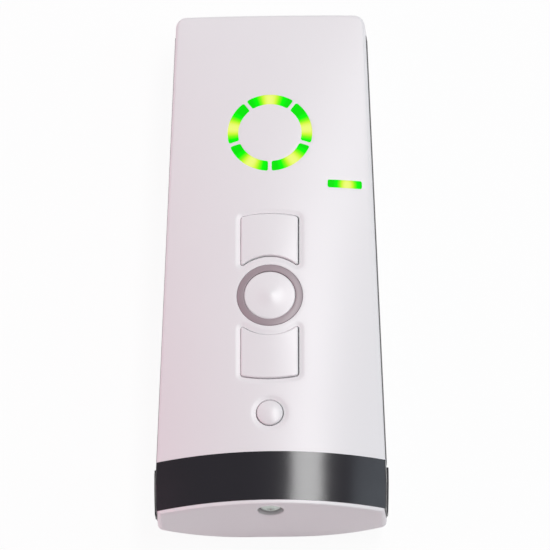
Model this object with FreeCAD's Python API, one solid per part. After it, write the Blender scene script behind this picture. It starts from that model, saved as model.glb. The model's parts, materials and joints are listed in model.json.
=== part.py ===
import FreeCAD, Part
import math
import os

# A handheld radio transmitter for a heater, shutter or similar load. It lies on its back: +X is its width,
# +Y runs from the screw end to the light end, and +Z is the front with the keys. The origin is at the middle
# of the outline, on the flat of the back. All sizes are in millimetres. A name that ends in _from_end or
# _start or _end is a distance from the screw end.

# Outline of the housing
length = 135.5
seam_width_bottom = 59.4  # across the widest line of the flanks, at the screw end
seam_width_top = 48.6
flank_lean = 0.35  # how far each flank leans in over flank_lean_height above the seam
flank_lean_height = 8.0
rear_lean = 0.5  # how far each flank leans in from the seam to the rear corner
end_narrowing = 0.75  # each side draws in over the last stretch before the screw end
narrowing_length = 14.0
narrowing_bow = 0.125  # share of the narrowing by which its curve bows out halfway
plan_corner_bottom = 1.6
plan_corner_top = 3.0
least_corner = 0.25  # share of a corner's radius that is kept inside the walls

# Front face: an arc across the width that fades towards the light end, under a gentle arch along the length
front_bottom_z = 24.5
front_middle_z = 25.0
front_top_z = 19.9
crown_bottom = 7.6
crown_middle = 4.5
crown_top = 0.6
crown_overhang = 2.5

# Back: a flat strip to rest on, with a shallow arc on each side up to the rear corners
seam_z = 12.0
rear_corner_z = 6.6
rest_half_width = 6.0
front_edge_round = 0.9
rear_edge_round = 1.2

# Walls and fits
front_wall = 2.0
side_wall = 2.0
rear_wall = 1.8
end_wall = 2.2
rear_end_wall = 1.4
seam_gap = 0.1  # between the two shells
seat_gap = 0.05  # between an insert and its seat
key_gap = 0.2  # around each key
lip_height = 1.6
lip_thickness = 0.9
lip_root = 1.4

# Trim
band_start = 1.1
band_end = 13.95
band_depth = 0.3  # recess in the front face
band_proud = 0.12
band_corner_round = 0.6
band_reach = 1.6  # below the seam
pad_proud = 0.5  # where the band is thicker, beside the seam
pad_above = 1.1
pad_below = 0.9
pad_inset = 0.15  # from each edge of the band
trim_above = 4.0  # over the seam
trim_below = 1.2
trim_depth = 1.0
trim_proud = 0.12
trim_start = 15.0
trim_end_margin = 4.5  # from the light end

# Keys, all pressed straight down
stop_share = 0.4155  # the stop key's place along the length
stop_cap_radius = 6.45
stop_dome = 0.8
stop_ring_radius = 8.35
stop_ring_depth = 1.2
stop_ring_proud = 0.1
stop_ledge = 1.0
long_key_width = 14.5
long_key_inner_radius = 10.9
long_key_reach = 22.6  # from the stop key's centre to the outer edge
long_key_edge_radius = 33.0
long_key_corner = 0.85
long_key_inner_corner = 0.4  # beside the stop key
long_key_proud = 0.1
channel_margin = 6.0  # between the down key and the channel key
channel_radius = 3.3
channel_dome = 0.6
cap_edge_round = 0.3
flange_width = 1.3
flange_thickness = 1.1
flange_gap = 0.15
stem_radius = 2.4

# Lights
ring_from_top = 33.8  # from the light end
ring_outer_radius = 10.75
ring_inner_radius = 8.1
ring_segments = 5
first_gap_bearing = 270.0  # towards the screw end
segment_gap = 1.0
segment_corner = 0.45
bar_drop = 14.1  # from the ring's centre towards the screw end
bar_edge_margin = 2.9  # from the widest line of the flank
bar_length = 8.6
bar_width = 2.1
guide_foot_z = 17.6
guide_ledge = 0.3
shield_rim = 1.6
led_length = 3.2
led_width = 1.4
led_height = 0.7

# Circuit board
board_top_z = 16.0
board_thickness = 1.6
board_side_gap = 1.75  # to the side wall, at the light end
board_start = 12.5
board_end_margin = 11.5  # from the light end
board_corner = 2.0
boss_radius = 2.6
boss_root = 1.0  # how far a boss reaches up into the front wall
boss_edge_margin = 4.2  # from each side of the board
boss_margin = 5.0  # from each end of the board
screw_clearance = 0.15
thread_gap = 0.05
board_screw_radius = 1.1
board_screw_head_radius = 2.1
board_screw_head = 1.3
board_screw_length = 3.4  # into the boss
chip_side = 7.0
chip_height = 1.0
chip_gap = 0.5  # beside the battery tray
crystal_length = 5.0
crystal_width = 3.2
crystal_height = 1.2
crystal_pitch = 9.0  # from the chip towards the light end
module_width = 20.0
module_length = 16.0
module_board = 0.8
module_can_height = 2.2
module_can_margin = 1.0
module_lead = 10.7  # starts this far before the ring's centre
part_length = 2.0
part_width = 1.25
part_height = 0.6
part_pitch = 3.4
parts_in_row = 7
parts_offset = 13.0
antenna_radius = 0.4
antenna_bend = 2.5
antenna_edge_margin = 4.0  # from each side of the board
antenna_drop = 4.0
antenna_inset = 1.5  # from the light end of the board

# Push switches
switch_side = 6.0
switch_height = 3.5
plunger_radius = 1.7
plunger_top = 5.0  # above the board
plunger_gap = 0.1
plunger_depth = 1.1
plunger_room = 0.6  # below the plunger, more than the key's travel

# End screw
end_screw_z = 19.5
recess_radius = 3.3
recess_depth = 2.4
pad_radius = 4.4
pad_thickness = 4.0
screw_head_radius = 2.7
screw_head_height = 1.5
screw_radius = 1.25
screw_length = 8.0
post_radius = 2.6
post_gap = 0.2
post_length = 6.5
cross_width = 0.8
cross_length = 3.2
cross_depth = 0.9
board_cross_width = 0.6
board_cross_length = 2.6
board_cross_depth = 0.7

# Batteries and their compartment
cell_radius = 5.25
cell_length = 43.7
cell_nub_radius = 1.9
cell_nub = 0.8
cell_gap = 0.7  # between the two cells
cell_floor_gap = 0.3
bay_start = 23.0
bay_length = 50.0
bay_side_gap = 0.6
tray_wall = 1.0
tray_roof_gap = 0.3
contact_thickness = 0.4
contact_width = 6.6
contact_height = 8.0
contact_floor_gap = 2.6
leaf_width = 5.0
leaf_half_span = 2.8
tail_width = 1.6

# Battery door
door_gap = 0.2
tab_width = 2.0
tab_inset = 0.2
tab_reach = 1.1
tab_thickness = 0.9
tab_lift = 0.25  # above the rear cover's inner surface
tab_root = 0.9
tab_room = 0.45  # free space around the tabs as the door swings
pivot_z = 0.1
latch_width = 9.0
latch_thickness = 0.9
latch_height = 2.2
latch_room = 0.5
grip_radius = 9.0
grip_depth = 0.8
grip_from_latch = 7.0
grip_length = 14.0

# Hooks that hold the rear cover to the front cover at the light end
hook_width = 5.0
hook_reach = 1.2
hook_thickness = 1.5
hook_offset = 12.0
hook_lift = 1.4
hook_gap = 0.15

HIGH = 60.0  # taller than anything here
PAST = 1.0  # how far a cut runs on past what it cuts
TURN = 360.0
FACING_FRONT = 0.85  # least upward lean of a front face's normal
FACING_REAR = 0.75
TINY = 0.001
ALONG_RATIO = 3.0  # an edge this much longer than it climbs runs along the housing
UP = FreeCAD.Vector(0, 0, 1)
ALONG = FreeCAD.Vector(0, 1, 0)
SIDES = {"left": -1, "right": 1}


def seam_half_width(from_end):
    return (seam_width_bottom + (seam_width_top - seam_width_bottom) * from_end / length) / 2


# Places that follow from the sizes above
stop_from_end = stop_share * length
channel_from_end = stop_from_end - long_key_reach - channel_margin - channel_radius
ring_from_end = length - ring_from_top
bar_from_end = ring_from_end - bar_drop
bar_offset = seam_half_width(bar_from_end) - bar_edge_margin - bar_length / 2
trim_end = length - trim_end_margin
board_end = length - board_end_margin
board_half_width = seam_half_width(board_end) - side_wall - board_side_gap
board_under_z = board_top_z - board_thickness
bay_end = bay_start + bay_length
cell_offset = cell_radius + cell_gap / 2
cell_z = rear_wall + cell_floor_gap + cell_radius
bay_half_width = cell_offset + cell_radius + bay_side_gap
bay_roof_z = cell_z + cell_radius + tray_roof_gap
contact_z = rear_wall + contact_floor_gap
tab_offset = bay_half_width - door_gap - tab_inset - tab_width / 2
leaf_reach = bay_length - 2 * contact_thickness - cell_length - cell_nub
long_key_centre = (long_key_inner_radius + long_key_reach) / 2
boss_offset = board_half_width - boss_edge_margin
boss_stations = (board_start + boss_margin, board_end - boss_margin)
bosses = [(side * boss_offset, s) for side in SIDES.values() for s in boss_stations]


def point(x, from_end, z):
    return FreeCAD.Vector(x, from_end - length / 2, z)


def box(x0, x1, s0, s1, z0, z1):
    return Part.makeBox(x1 - x0, s1 - s0, z1 - z0, point(x0, s0, z0))


def centred_box(x, from_end, width, depth, z0, z1):
    return box(x - width / 2, x + width / 2, from_end - depth / 2, from_end + depth / 2, z0, z1)


def cylinder(radius, x, from_end, z0, z1):
    return Part.makeCylinder(radius, z1 - z0, point(x, from_end, z0))


def rod(radius, x, z, s0, s1):
    return Part.makeCylinder(radius, s1 - s0, point(x, s0, z), ALONG)


def line(a, b):
    return Part.LineSegment(a, b).toShape()


def arc(a, b, c):
    return Part.Arc(a, b, c).toShape()


def prism(edges, z0, z1):
    face = Part.Face(Part.Wire(edges))
    return face.extrude(UP * (z1 - z0)).translated(UP * z0)


def upright(edge):
    a, b = edge.Vertexes[0].Point, edge.Vertexes[-1].Point
    return math.hypot(a.x - b.x, a.y - b.y) < TINY < abs(a.z - b.z)


def rounded(shape, radius, edges):
    return shape.makeFillet(radius, edges).Solids[0]


def boundary(shape, accept):
    """The edges around the region of the faces whose middle normal is accepted."""
    edges = []
    for face in shape.Faces:
        u0, u1, v0, v1 = face.ParameterRange
        if accept(face.normalAt((u0 + u1) / 2, (v0 + v1) / 2)):
            edges.extend(face.Edges)
    return [e for e in edges if sum(other.isSame(e) for other in edges) == 1]


# ---------------------------------------------------------------- the form of the housing


def crown_section(from_end, centre_z, crown):
    """A section under the front face, wider than the housing."""
    edge = seam_half_width(from_end) - flank_lean
    radius = (edge**2 + crown**2) / (2 * crown)
    wide = edge + crown_overhang
    low = centre_z - radius + math.sqrt(radius**2 - wide**2)
    left, right = point(-wide, from_end, low), point(wide, from_end, low)
    under_left, under_right = point(-wide, from_end, -HIGH), point(wide, from_end, -HIGH)
    return Part.Wire(
        [
            arc(left, point(0, from_end, centre_z), right),
            line(right, under_right),
            line(under_right, under_left),
            line(under_left, left),
        ]
    )


CROWN = Part.makeLoft(
    [
        crown_section(0, front_bottom_z, crown_bottom),
        crown_section(length / 2, front_middle_z, crown_middle),
        crown_section(length, front_top_z, crown_top),
    ],
    True,
    False,
)


def under_front(drop):
    """Everything below the front face, or below a copy of it lowered by drop."""
    return CROWN.translated(UP * -drop)


def layer(shape, drop_top, drop_bottom):
    """The part of a shape between two copies of the front face."""
    return shape.common(under_front(drop_top)).cut(under_front(drop_bottom))


def front_height(x, from_end):
    """Height of the front face above one place."""
    return line(point(x, from_end, 0), point(x, from_end, HIGH)).common(CROWN).BoundBox.ZMax


def flank_section(from_end, inset, lift):
    """Flanks and back at one station, open to the front."""
    seam = seam_half_width(from_end) - inset
    top = seam - flank_lean * (HIGH - seam_z) / flank_lean_height
    corner = seam - rear_lean
    flat = rest_half_width
    radius = ((corner - flat) ** 2 + rear_corner_z**2) / (2 * rear_corner_z)
    half_turn = math.asin((corner - flat) / radius) / 2
    middle = flat + radius * math.sin(half_turn)
    middle_z = radius * (1 - math.cos(half_turn)) + lift
    corner_z = rear_corner_z + lift

    def at(x, z):
        return point(x, from_end, z)

    return Part.Wire(
        [
            line(at(-top, HIGH), at(top, HIGH)),
            line(at(top, HIGH), at(seam, seam_z)),
            line(at(seam, seam_z), at(corner, corner_z)),
            arc(at(corner, corner_z), at(middle, middle_z), at(flat, lift)),
            line(at(flat, lift), at(-flat, lift)),
            arc(at(-flat, lift), at(-middle, middle_z), at(-corner, corner_z)),
            line(at(-corner, corner_z), at(-seam, seam_z)),
            line(at(-seam, seam_z), at(-top, HIGH)),
        ]
    )


def plan(inset, end_inset):
    """The outline seen from the front, as a tall prism with rounded corners."""
    s0, s1 = end_inset, length - end_inset
    top = seam_half_width(length) - inset
    shoulder = seam_half_width(narrowing_length) - inset
    foot = seam_half_width(0) - end_narrowing - inset
    middle = (shoulder + foot) / 2 + end_narrowing * narrowing_bow

    def at(x, s):
        return point(x, s, 0)

    block = prism(
        [
            line(at(-foot, s0), at(foot, s0)),
            arc(at(foot, s0), at(middle, narrowing_length / 2), at(shoulder, narrowing_length)),
            line(at(shoulder, narrowing_length), at(top, s1)),
            line(at(top, s1), at(-top, s1)),
            line(at(-top, s1), at(-shoulder, narrowing_length)),
            arc(at(-shoulder, narrowing_length), at(-middle, narrowing_length / 2), at(-foot, s0)),
        ],
        -HIGH,
        HIGH,
    )
    for corner_s, radius in ((s0, plan_corner_bottom), (s1, plan_corner_top)):
        corner_y = point(0, corner_s, 0).y
        edges = [e for e in block.Edges if upright(e) and abs(e.CenterOfMass.y - corner_y) < seat_gap]
        block = rounded(block, max(radius - inset, radius * least_corner), edges)
    return block


def housing(inset, drop, lift, end_inset):
    """The space of the whole housing, with each of its sides moved inwards by its own amount."""
    flanks = Part.makeLoft([flank_section(0, inset, lift), flank_section(length, inset, lift)], True, True)
    return flanks.common(plan(inset, end_inset)).common(under_front(drop))


def rounded_housing():
    body = housing(0, 0, 0, 0)
    body = rounded(body, front_edge_round, boundary(body, lambda n: n.z > FACING_FRONT))
    return rounded(body, rear_edge_round, boundary(body, lambda n: n.z < -FACING_REAR))


OUTER = rounded_housing()
CAVITY = housing(side_wall, front_wall, rear_wall, end_wall)
INSIDE = housing(side_wall + seam_gap, front_wall + seam_gap, rear_wall + seat_gap, end_wall + seam_gap)
WIDE = seam_width_bottom


# ---------------------------------------------------------------- outlines of keys and lights


def long_key_plan(side, grow):
    """The up key (side +1) or the down key (side -1): two straight sides, an inner arc around the stop key
    and a bowed outer edge."""
    half = long_key_width / 2 + grow
    inner = long_key_inner_radius - grow
    outer = long_key_edge_radius + grow
    reach = long_key_reach + grow
    inner_foot = math.sqrt(inner**2 - half**2)
    outer_foot = reach - outer + math.sqrt(outer**2 - half**2)

    def at(x, s):
        return point(x, stop_from_end + side * s, 0)

    shape = prism(
        [
            arc(at(-half, inner_foot), at(0, inner), at(half, inner_foot)),
            line(at(half, inner_foot), at(half, outer_foot)),
            arc(at(half, outer_foot), at(0, reach), at(-half, outer_foot)),
            line(at(-half, outer_foot), at(-half, inner_foot)),
        ],
        0,
        HIGH,
    )
    middle = abs(at(0, (inner + reach) / 2).y - at(0, 0).y)
    edges = [e for e in shape.Edges if upright(e)]
    outer_edges = [e for e in edges if abs(e.CenterOfMass.y - at(0, 0).y) > middle]
    shape = rounded(shape, long_key_corner + grow, outer_edges)
    edges = [e for e in shape.Edges if upright(e)]
    inner_edges = [e for e in edges if abs(e.CenterOfMass.y - at(0, 0).y) < inner]
    return rounded(shape, long_key_inner_corner + grow, inner_edges)


def ring_block(grow):
    """The light ring's five segments as tall blocks: a tube cut by one narrow slot between neighbours."""
    tube = cylinder(ring_outer_radius + grow, 0, ring_from_end, 0, HIGH)
    tube = tube.cut(cylinder(ring_inner_radius - grow, 0, ring_from_end, 0, HIGH))
    centre = point(0, ring_from_end, 0)
    slot_half = segment_gap / 2 - grow
    for k in range(ring_segments):
        slot = box(0, 2 * ring_outer_radius, ring_from_end - slot_half, ring_from_end + slot_half, 0, HIGH)
        slot.rotate(centre, UP, first_gap_bearing + k * TURN / ring_segments)
        tube = tube.cut(slot)
    blocks = []
    for solid in tube.Solids:
        blocks.append(rounded(solid, segment_corner, [e for e in solid.Edges if upright(e)]))

    def turn(solid):
        c = solid.CenterOfMass - centre
        return (math.degrees(math.atan2(c.x, c.y)) + TURN / ring_segments / 2) % TURN

    return sorted(blocks, key=turn)


def bar_block(grow):
    shape = centred_box(bar_offset, bar_from_end, bar_length + 2 * grow, bar_width + 2 * grow, 0, HIGH)
    return rounded(shape, segment_corner, [e for e in shape.Edges if upright(e)])


# ---------------------------------------------------------------- trim


def black_band():
    """The band round the screw end: across the front, over the front edges and down both flanks, where it is
    thicker beside the seam."""
    skin = housing(-band_proud, -band_proud, 0, 0)
    skin = skin.common(box(-WIDE, WIDE, band_start, band_end, seam_z - band_reach, HIGH))
    skin = rounded(skin, band_corner_round, [e for e in skin.Edges if is_front_corner(e)])
    s0, s1 = band_start + pad_inset, band_end - pad_inset
    pads = box(-WIDE, WIDE, s0, s1, seam_z - pad_below, seam_z + pad_above)
    pads = housing(-pad_proud, 0, 0, 0).common(pads)
    return skin.fuse(pads).cut(housing(0, band_depth, 0, 0))


def is_front_corner(edge):
    a, b = edge.Vertexes[0].Point, edge.Vertexes[-1].Point
    along = abs(a.y - b.y) > max(abs(a.z - b.z), abs(a.x - b.x)) * ALONG_RATIO
    return along and min(a.z, b.z) > seam_z + 2 * band_proud and min(abs(a.x), abs(b.x)) > seam_width_top / 2


def flank_layer(outer_inset, inner_inset, zone):
    """The part of a zone that lies between two copies of the flanks."""
    inner = housing(inner_inset, front_wall, rear_wall, end_wall)
    return housing(outer_inset, 0, 0, 0).common(zone).cut(inner)


def side_trim(side):
    """A strip along the seam of one flank."""
    low, high = seam_z - trim_below, seam_z + trim_above
    reach = side * WIDE
    zone = box(min(0, reach), max(0, reach), trim_start, trim_end, low, high)
    return flank_layer(-trim_proud, trim_depth, zone)


# ---------------------------------------------------------------- shells


def stop_opening():
    seat = cylinder(stop_ring_radius + seat_gap, 0, stop_from_end, 0, HIGH).cut(under_front(stop_ring_depth))
    return seat.fuse(cylinder(stop_ring_radius - stop_ledge, 0, stop_from_end, board_top_z, HIGH))


def front_cover(trims):
    body = OUTER.cut(box(-WIDE, WIDE, end_wall, length - end_wall, -PAST, seam_z)).cut(CAVITY)
    pad = rod(pad_radius, 0, end_screw_z, end_wall / 2, pad_thickness)
    body = body.fuse(pad.common(under_front(boss_root)))
    for x, s in bosses:
        body = body.fuse(cylinder(boss_radius, x, s, board_top_z, HIGH).common(under_front(boss_root)))
    for side in (1, -1):
        body = body.cut(long_key_plan(side, key_gap).common(above(board_top_z)))
    body = body.cut(stop_opening())
    body = body.cut(cylinder(channel_radius + key_gap, 0, channel_from_end, board_top_z, HIGH))
    for block in ring_block(seat_gap):
        body = body.cut(block.common(above(guide_foot_z)))
    body = body.cut(bar_block(seat_gap).common(above(guide_foot_z)))
    for x, s in bosses:
        depth = board_screw_length + screw_clearance
        body = body.cut(cylinder(board_screw_radius + thread_gap, x, s, 0, board_top_z + depth))
    body = body.cut(rod(recess_radius, 0, end_screw_z, -PAST, recess_depth))
    body = body.cut(rod(screw_radius + screw_clearance, 0, end_screw_z, 0, pad_thickness + PAST))
    for side in SIDES.values():
        body = body.cut(top_hook(side, hook_gap))
    for piece in trims:
        body = body.cut(piece)
    return body


def above(z):
    return box(-WIDE, WIDE, -PAST, length + PAST, z, HIGH)


def top_hook(side, grow):
    """A tab of the rear cover, or with a gap around it the pocket that takes it."""
    floor = rear_height(hook_offset + hook_width / 2) + rear_wall + hook_lift
    tip = length - end_wall - seam_gap + hook_reach + grow
    half = hook_width / 2 + grow
    tall = hook_thickness / 2 + grow
    x = side * hook_offset
    root = length - end_wall - seam_gap - rear_end_wall / 2
    return box(x - half, x + half, root, tip, floor - tall, floor + tall)


def rear_height(x):
    """Height of the outer surface of the back at the light end, beside the flat strip."""
    corner = seam_half_width(length) - rear_lean
    radius = ((corner - rest_half_width) ** 2 + rear_corner_z**2) / (2 * rear_corner_z)
    return radius - math.sqrt(radius**2 - (abs(x) - rest_half_width) ** 2)


def screw_post():
    """The pillar in the rear cover that the end screw bites into."""
    s0 = pad_thickness + post_gap
    s1 = s0 + post_length
    pillar = box(-post_radius, post_radius, s0, s1, rear_wall / 2, end_screw_z)
    pillar = pillar.fuse(rod(post_radius, 0, end_screw_z, s0, s1))
    return pillar.cut(rod(screw_radius + thread_gap, 0, end_screw_z, s0 - PAST, s1 + PAST))


def lip():
    """A tongue on the rear cover's rim that locates the front cover's flanks."""
    face = side_wall + seam_gap
    low = seam_z - lip_root
    tongue = box(-WIDE, WIDE, trim_start, trim_end, low, seam_z + lip_height)
    root = box(-WIDE, WIDE, trim_start, trim_end, low, seam_z - seam_gap)
    tongue = flank_layer(face, face + lip_thickness, tongue)
    return tongue.fuse(flank_layer(side_wall - seam_gap, face + lip_thickness, root))


def rear_cover(trims):
    s0, s1 = end_wall + seam_gap, length - end_wall - seam_gap
    zone = box(-WIDE, WIDE, s0, s1, -PAST, seam_z - seam_gap)
    hollow = housing(side_wall, 0, rear_wall, s0 + rear_end_wall)
    body = OUTER.common(zone).cut(hollow)
    body = body.fuse(lip()).fuse(screw_post())
    for side in SIDES.values():
        body = body.fuse(top_hook(side, 0))
    body = body.cut(box(-bay_half_width, bay_half_width, bay_start, bay_end, -PAST, rear_wall + PAST))
    for piece in trims:
        body = body.cut(piece)
    return body


# ---------------------------------------------------------------- battery door and compartment


def battery_door():
    half = bay_half_width - door_gap
    s0, s1 = bay_start + door_gap, bay_end - door_gap
    panel = OUTER.common(box(-half, half, s0, s1, -PAST, seam_z))
    panel = panel.cut(CAVITY)
    floor = bay_floor_z() + tab_lift
    for side in SIDES.values():
        x0 = side * tab_offset - tab_width / 2
        x1 = x0 + tab_width
        panel = panel.fuse(box(x0, x1, s1 - tab_root, bay_end + tab_reach, floor, floor + tab_thickness))
        panel = panel.fuse(box(x0, x1, s1 - tab_root, s1, rear_wall / 2, floor + tab_thickness))
    half = latch_width / 2
    latch = box(-half, half, s0, s0 + latch_thickness, rear_wall / 2, rear_wall + latch_height)
    panel = panel.fuse(latch)
    s = s0 + grip_from_latch
    grip = Part.makeCylinder(
        grip_radius, grip_length, point(-grip_length / 2, s, grip_depth - grip_radius), FreeCAD.Vector(1, 0, 0)
    )
    return panel.cut(grip)


def bay_floor_z():
    """Highest place of the rear cover's inner surface beside the battery opening."""
    x = bay_half_width
    edge = OUTER.common(line(point(x, bay_end, -PAST), point(x, bay_end, seam_z)))
    return edge.BoundBox.ZMin + rear_wall


def battery_tray():
    half = bay_half_width + tray_wall
    shell = box(-half, half, bay_start - tray_wall, bay_end + tray_wall, 0, bay_roof_z + tray_wall)
    shell = shell.cut(box(-bay_half_width, bay_half_width, bay_start, bay_end, -PAST, bay_roof_z))
    shell = shell.common(INSIDE)
    swing = bay_floor_z() + tab_lift + tab_thickness + tab_room
    through = 2 * (tray_wall + PAST)
    tail_room = 2 * (contact_thickness + key_gap)
    for side in SIDES.values():
        wide = tab_width + 2 * tab_room
        shell = shell.cut(centred_box(side * tab_offset, bay_end, wide, through, 0, swing))
        slot = centred_box(side * cell_offset, bay_end, tail_width + 2 * seam_gap, tail_room, 0, HIGH)
        shell = shell.cut(slot.common(above(bay_roof_z - PAST)))
    wide = latch_width + 2 * latch_room
    shell = shell.cut(centred_box(0, bay_start, wide, through, 0, rear_wall + latch_height + latch_room))
    return shell


def battery_cell(side):
    """One cell. The left one points to the light end and the right one to the screw end."""
    x = side * cell_offset
    if side < 0:
        tip = bay_end - contact_thickness
        body = rod(cell_radius, x, cell_z, tip - cell_nub - cell_length, tip - cell_nub)
        return body.fuse(rod(cell_nub_radius, x, cell_z, tip - cell_nub - PAST, tip))
    tip = bay_start + contact_thickness
    body = rod(cell_radius, x, cell_z, tip + cell_nub, tip + cell_nub + cell_length)
    return body.fuse(rod(cell_nub_radius, x, cell_z, tip, tip + cell_nub + PAST))


def contact_plate(x0, x1, s):
    return box(x0, x1, s, s + contact_thickness, contact_z, contact_z + contact_height)


def leaf_spring(x, s, direction):
    """A bowed leaf that bears on a cell's flat end."""
    span, reach, thick = leaf_half_span, leaf_reach, contact_thickness

    def at(dx, ds):
        return point(x + dx, s + direction * ds, 0)

    strip = prism(
        [
            arc(at(-span, 0), at(0, reach), at(span, 0)),
            line(at(span, 0), at(span - thick, 0)),
            arc(at(span - thick, 0), at(0, reach - thick), at(thick - span, 0)),
            line(at(thick - span, 0), at(-span, 0)),
        ],
        cell_z - leaf_width / 2,
        cell_z + leaf_width / 2,
    )
    return strip


def contact_tail(x, s):
    return box(x - tail_width / 2, x + tail_width / 2, s, s + contact_thickness, contact_z, board_under_z)


def battery_contacts():
    """A bridge at the screw end, and the two poles at the light end with tails up to the board."""
    low, high = bay_start, bay_end - contact_thickness
    half = contact_width / 2
    bridge = contact_plate(-cell_offset - half, cell_offset + half, low)
    bridge = bridge.fuse(leaf_spring(-cell_offset, low + contact_thickness, 1))
    positive = contact_plate(-cell_offset - half, -cell_offset + half, high)
    positive = positive.fuse(contact_tail(-cell_offset, high))
    negative = contact_plate(cell_offset - half, cell_offset + half, high)
    negative = negative.fuse(contact_tail(cell_offset, high)).fuse(leaf_spring(cell_offset, high, -1))
    return {
        "battery_bridge_contact": bridge,
        "battery_positive_contact": positive,
        "battery_negative_contact": negative,
    }


# ---------------------------------------------------------------- keys and switches


def with_flange(cap, wide, x, from_end):
    """A key's cap with its retaining flange under the front wall and its stem down to the switch."""
    top = front_wall + flange_gap
    flange = layer(wide, top, top + flange_thickness)
    stem = cylinder(stem_radius, x, from_end, board_top_z + plunger_top, HIGH).common(under_front(top))
    return cap.cut(under_front(top + flange_thickness)).fuse(flange).fuse(stem)


def long_key(side):
    cap = long_key_plan(side, 0).common(under_front(-long_key_proud))
    cap = rounded(cap, cap_edge_round, boundary(cap, lambda n: n.z > FACING_FRONT))
    wide = long_key_plan(side, flange_width)
    return with_flange(cap, wide, 0, stop_from_end + side * long_key_centre)


def round_key(radius, dome, from_end, flange_radius):
    """A round key whose top is a shallow dome that starts level with the front face."""
    sphere = (radius**2 + dome**2) / (2 * dome)
    crest = front_height(0, from_end) + dome
    cap = cylinder(radius, 0, from_end, board_top_z, HIGH)
    cap = cap.common(Part.makeSphere(sphere, point(0, from_end, crest - sphere)))
    cap = rounded(cap, cap_edge_round, boundary(cap, lambda n: n.z > FACING_FRONT))
    return with_flange(cap, cylinder(flange_radius, 0, from_end, 0, HIGH), 0, from_end)


def stop_key_ring():
    ring = cylinder(stop_ring_radius, 0, stop_from_end, 0, HIGH)
    ring = ring.cut(cylinder(stop_cap_radius + key_gap, 0, stop_from_end, 0, HIGH))
    return layer(ring, -stop_ring_proud, stop_ring_depth)


KEYS = {
    "up": stop_from_end + long_key_centre,
    "stop": stop_from_end,
    "down": stop_from_end - long_key_centre,
    "channel": channel_from_end,
}


def key_caps():
    return {
        "up_key": long_key(1),
        "stop_key": round_key(stop_cap_radius, stop_dome, stop_from_end, stop_ring_radius),
        "down_key": long_key(-1),
        "channel_key": round_key(channel_radius, channel_dome, channel_from_end, channel_radius + flange_width),
    }


def switch_body(from_end):
    body = centred_box(0, from_end, switch_side, switch_side, board_top_z, board_top_z + switch_height)
    floor = board_top_z + switch_height - plunger_depth - plunger_room
    return body.cut(cylinder(plunger_radius + plunger_gap, 0, from_end, floor, HIGH))


def switch_plunger(from_end):
    floor = board_top_z + switch_height - plunger_depth
    return cylinder(plunger_radius, 0, from_end, floor, board_top_z + plunger_top)


# ---------------------------------------------------------------- lights


def ring_shield():
    """The frame between board and front cover that keeps each segment's light to itself."""
    tube = cylinder(ring_outer_radius + shield_rim, 0, ring_from_end, board_top_z, HIGH)
    tube = tube.cut(cylinder(ring_inner_radius - shield_rim, 0, ring_from_end, 0, HIGH)).common(INSIDE)
    for block in ring_block(seat_gap):
        tube = tube.cut(block.common(above(guide_foot_z)))
    for block in ring_block(-guide_ledge):
        tube = tube.cut(block)
    return tube


def bar_shield():
    wide, deep = bar_length + 2 * shield_rim, bar_width + 2 * shield_rim
    block = centred_box(bar_offset, bar_from_end, wide, deep, board_top_z, HIGH).common(INSIDE)
    block = block.cut(bar_block(seat_gap).common(above(guide_foot_z)))
    return block.cut(bar_block(-guide_ledge))


def led(x, from_end, turn):
    body = centred_box(x, from_end, led_length, led_width, board_top_z, board_top_z + led_height)
    body.rotate(point(x, from_end, 0), UP, turn)
    return body


def light_guide(block):
    return block.common(above(guide_foot_z)).common(under_front(0))


def lights():
    pieces = {}
    radius = (ring_inner_radius + ring_outer_radius) / 2
    for k, block in enumerate(ring_block(0)):
        bearing = k * TURN / ring_segments
        angle = math.radians(bearing)
        x, s = radius * math.sin(angle), ring_from_end + radius * math.cos(angle)
        pieces[f"ring_light_guide_{k + 1}"] = light_guide(block)
        pieces[f"ring_led_{k + 1}"] = led(x, s, -bearing)
    pieces["bar_light_guide"] = light_guide(bar_block(0))
    pieces["bar_led"] = led(board_half_width - led_length, bar_from_end, 0)
    pieces["ring_light_shield"] = ring_shield()
    pieces["bar_light_shield"] = bar_shield()
    return pieces


# ---------------------------------------------------------------- board and its parts


def circuit_board():
    half = board_half_width
    board = box(-half, half, board_start, board_end, board_under_z, board_top_z)
    board = rounded(board, board_corner, [e for e in board.Edges if upright(e)])
    for x, s in bosses:
        board = board.cut(cylinder(board_screw_radius + screw_clearance, x, s, 0, HIGH))
    return board


def crossed(long, short):
    """The two bars of a cross recess."""
    return (long, short), (short, long)


def board_screws():
    screws = []
    for x, s in bosses:
        head = cylinder(board_screw_head_radius, x, s, board_under_z - board_screw_head, board_under_z)
        root = board_under_z - board_screw_head / 2
        head = head.fuse(cylinder(board_screw_radius, x, s, root, board_top_z + board_screw_length))
        depth = board_under_z - board_screw_head + board_cross_depth
        for wide, deep in crossed(board_cross_length, board_cross_width):
            head = head.cut(centred_box(x, s, wide, deep, 0, depth))
        screws.append(head)
    return Part.makeCompound(screws)


def small_parts():
    """Rows of resistors and capacitors on both sides of the stop key."""
    pieces = []
    for side in SIDES.values():
        for k in range(parts_in_row):
            s = stop_from_end + (k - (parts_in_row - 1) / 2) * part_pitch
            top = board_top_z + part_height
            pieces.append(centred_box(side * parts_offset, s, part_width, part_length, board_top_z, top))
    return Part.makeCompound(pieces)


def chip_and_crystal():
    """On the back of the board, beside the battery tray."""
    x = bay_half_width + tray_wall + chip_gap + chip_side / 2
    s = stop_from_end + crystal_pitch
    top = board_under_z
    chip = centred_box(x, stop_from_end, chip_side, chip_side, top - chip_height, top)
    crystal = centred_box(x, s, crystal_width, crystal_length, top - crystal_height, top)
    return chip, crystal


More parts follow.
